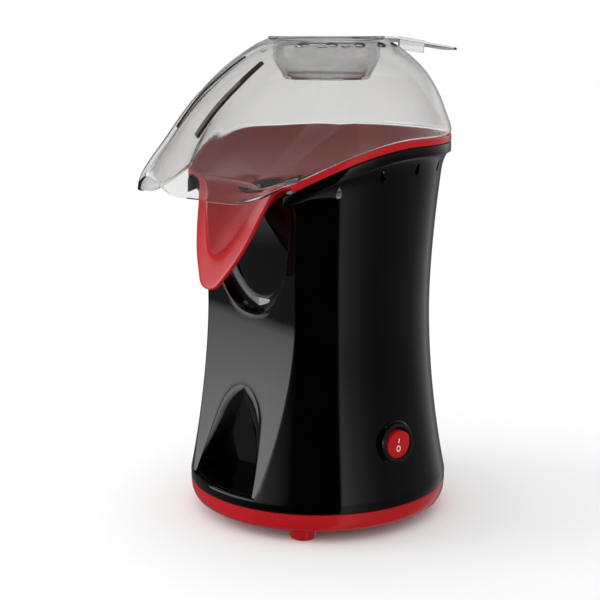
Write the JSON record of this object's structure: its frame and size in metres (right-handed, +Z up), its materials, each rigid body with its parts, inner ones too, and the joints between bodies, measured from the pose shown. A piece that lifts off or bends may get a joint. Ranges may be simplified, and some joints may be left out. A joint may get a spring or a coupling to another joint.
{
  "type": "hot-air popcorn maker",
  "caption": "Countertop hot-air popcorn maker: round waisted body, slanting pour spout, clear hood with a lift-out measuring cup and a rocker switch on the side.",
  "frame": {"origin": "on the floor under the feet, at the centre of the appliance's bounding box", "axes": "+Z up; the spout faces -Y and the cup's handle +Y; the switch is on the +X side"},
  "size_m": [0.165, 0.2364, 0.2977],
  "materials": {
    "red_plastic": "gloss moulded",
    "gloss_black_plastic": "high gloss moulded",
    "smoked_plastic": "clear moulded, grey tint",
    "clear_plastic": "clear moulded",
    "rubber": "matt",
    "heat_resistant_nylon": "satin moulded",
    "steel": "satin",
    "brass": "satin",
    "aluminium": "spun",
    "nichrome": "oxidised wire",
    "mica": "pressed board",
    "circuit_board": "laminate",
    "red_insulation": "satin",
    "blue_insulation": "satin"
  },
  "bodies": {
    "housing": {"air_duct": "steel", "base_screw_1": "steel", "base_screw_2": "steel", "base_screw_3": "steel", "base_screw_4": "steel", "base_tray": "red_plastic", "chamber_deck": "heat_resistant_nylon", "chamber_screw_1": "steel", "chamber_screw_2": "steel", "chamber_screw_3": "steel", "cord_inlet": "rubber", "fan_housing": "heat_resistant_nylon", "foot_1": "red_plastic", "foot_2": "red_plastic", "foot_3": "red_plastic", "foot_4": "red_plastic", "front_panel": "gloss_black_plastic", "heater_coil": "nichrome", "heater_former": "mica", "housing_shell": "gloss_black_plastic", "live_lead": "red_insulation", "lower_shaft_bush": "brass", "motor_bracket": "heat_resistant_nylon", "motor_can": "steel", "motor_end_cap": "heat_resistant_nylon", "motor_lead_1": "rubber", "motor_lead_2": "rubber", "neutral_lead": "blue_insulation", "popping_chamber": "aluminium", "rectifier_board": "circuit_board", "rectifier_diode_1": "rubber", "rectifier_diode_2": "rubber", "rectifier_diode_3": "rubber", "rectifier_diode_4": "rubber", "switch_bezel": "gloss_black_plastic", "switch_body": "heat_resistant_nylon", "switch_terminal_1": "brass", "switch_terminal_2": "brass", "switch_terminal_3": "brass", "switched_lead": "red_insulation", "thermal_fuse": "steel", "thermostat": "heat_resistant_nylon", "upper_shaft_bush": "brass"},
    "rocker": {"switch_rocker": "red_plastic"},
    "fan": {"impeller": "heat_resistant_nylon", "motor_shaft": "steel", "rotor_core": "steel"},
    "chute": {"chute": "red_plastic"},
    "hood": {"top_cover": "smoked_plastic"},
    "cup": {"measuring_cup": "clear_plastic"}
  },
  "joints": [
    {"name": "rocker_hinge", "type": "hinge", "parent": "housing", "child": "rocker", "pos_m": [0.07662, 0.00625, 0.057], "axis": [0, -1, 0], "range_deg": [0, 24]},
    {"name": "fan_spin", "type": "hinge", "parent": "housing", "child": "fan", "pos_m": [0, 0.00625, 0.03], "axis": [0, 0, 1], "continuous": true},
    {"name": "chute_lift", "type": "slide", "parent": "housing", "child": "chute", "axis": [0, 0, 1], "range_m": [0, 0.12]},
    {"name": "hood_lift", "type": "slide", "parent": "chute", "child": "hood", "axis": [0, 0, 1], "range_m": [0, 0.09]},
    {"name": "cup_lift", "type": "slide", "parent": "hood", "child": "cup", "axis": [0, 0, 1], "range_m": [0, 0.04]}
  ]
}
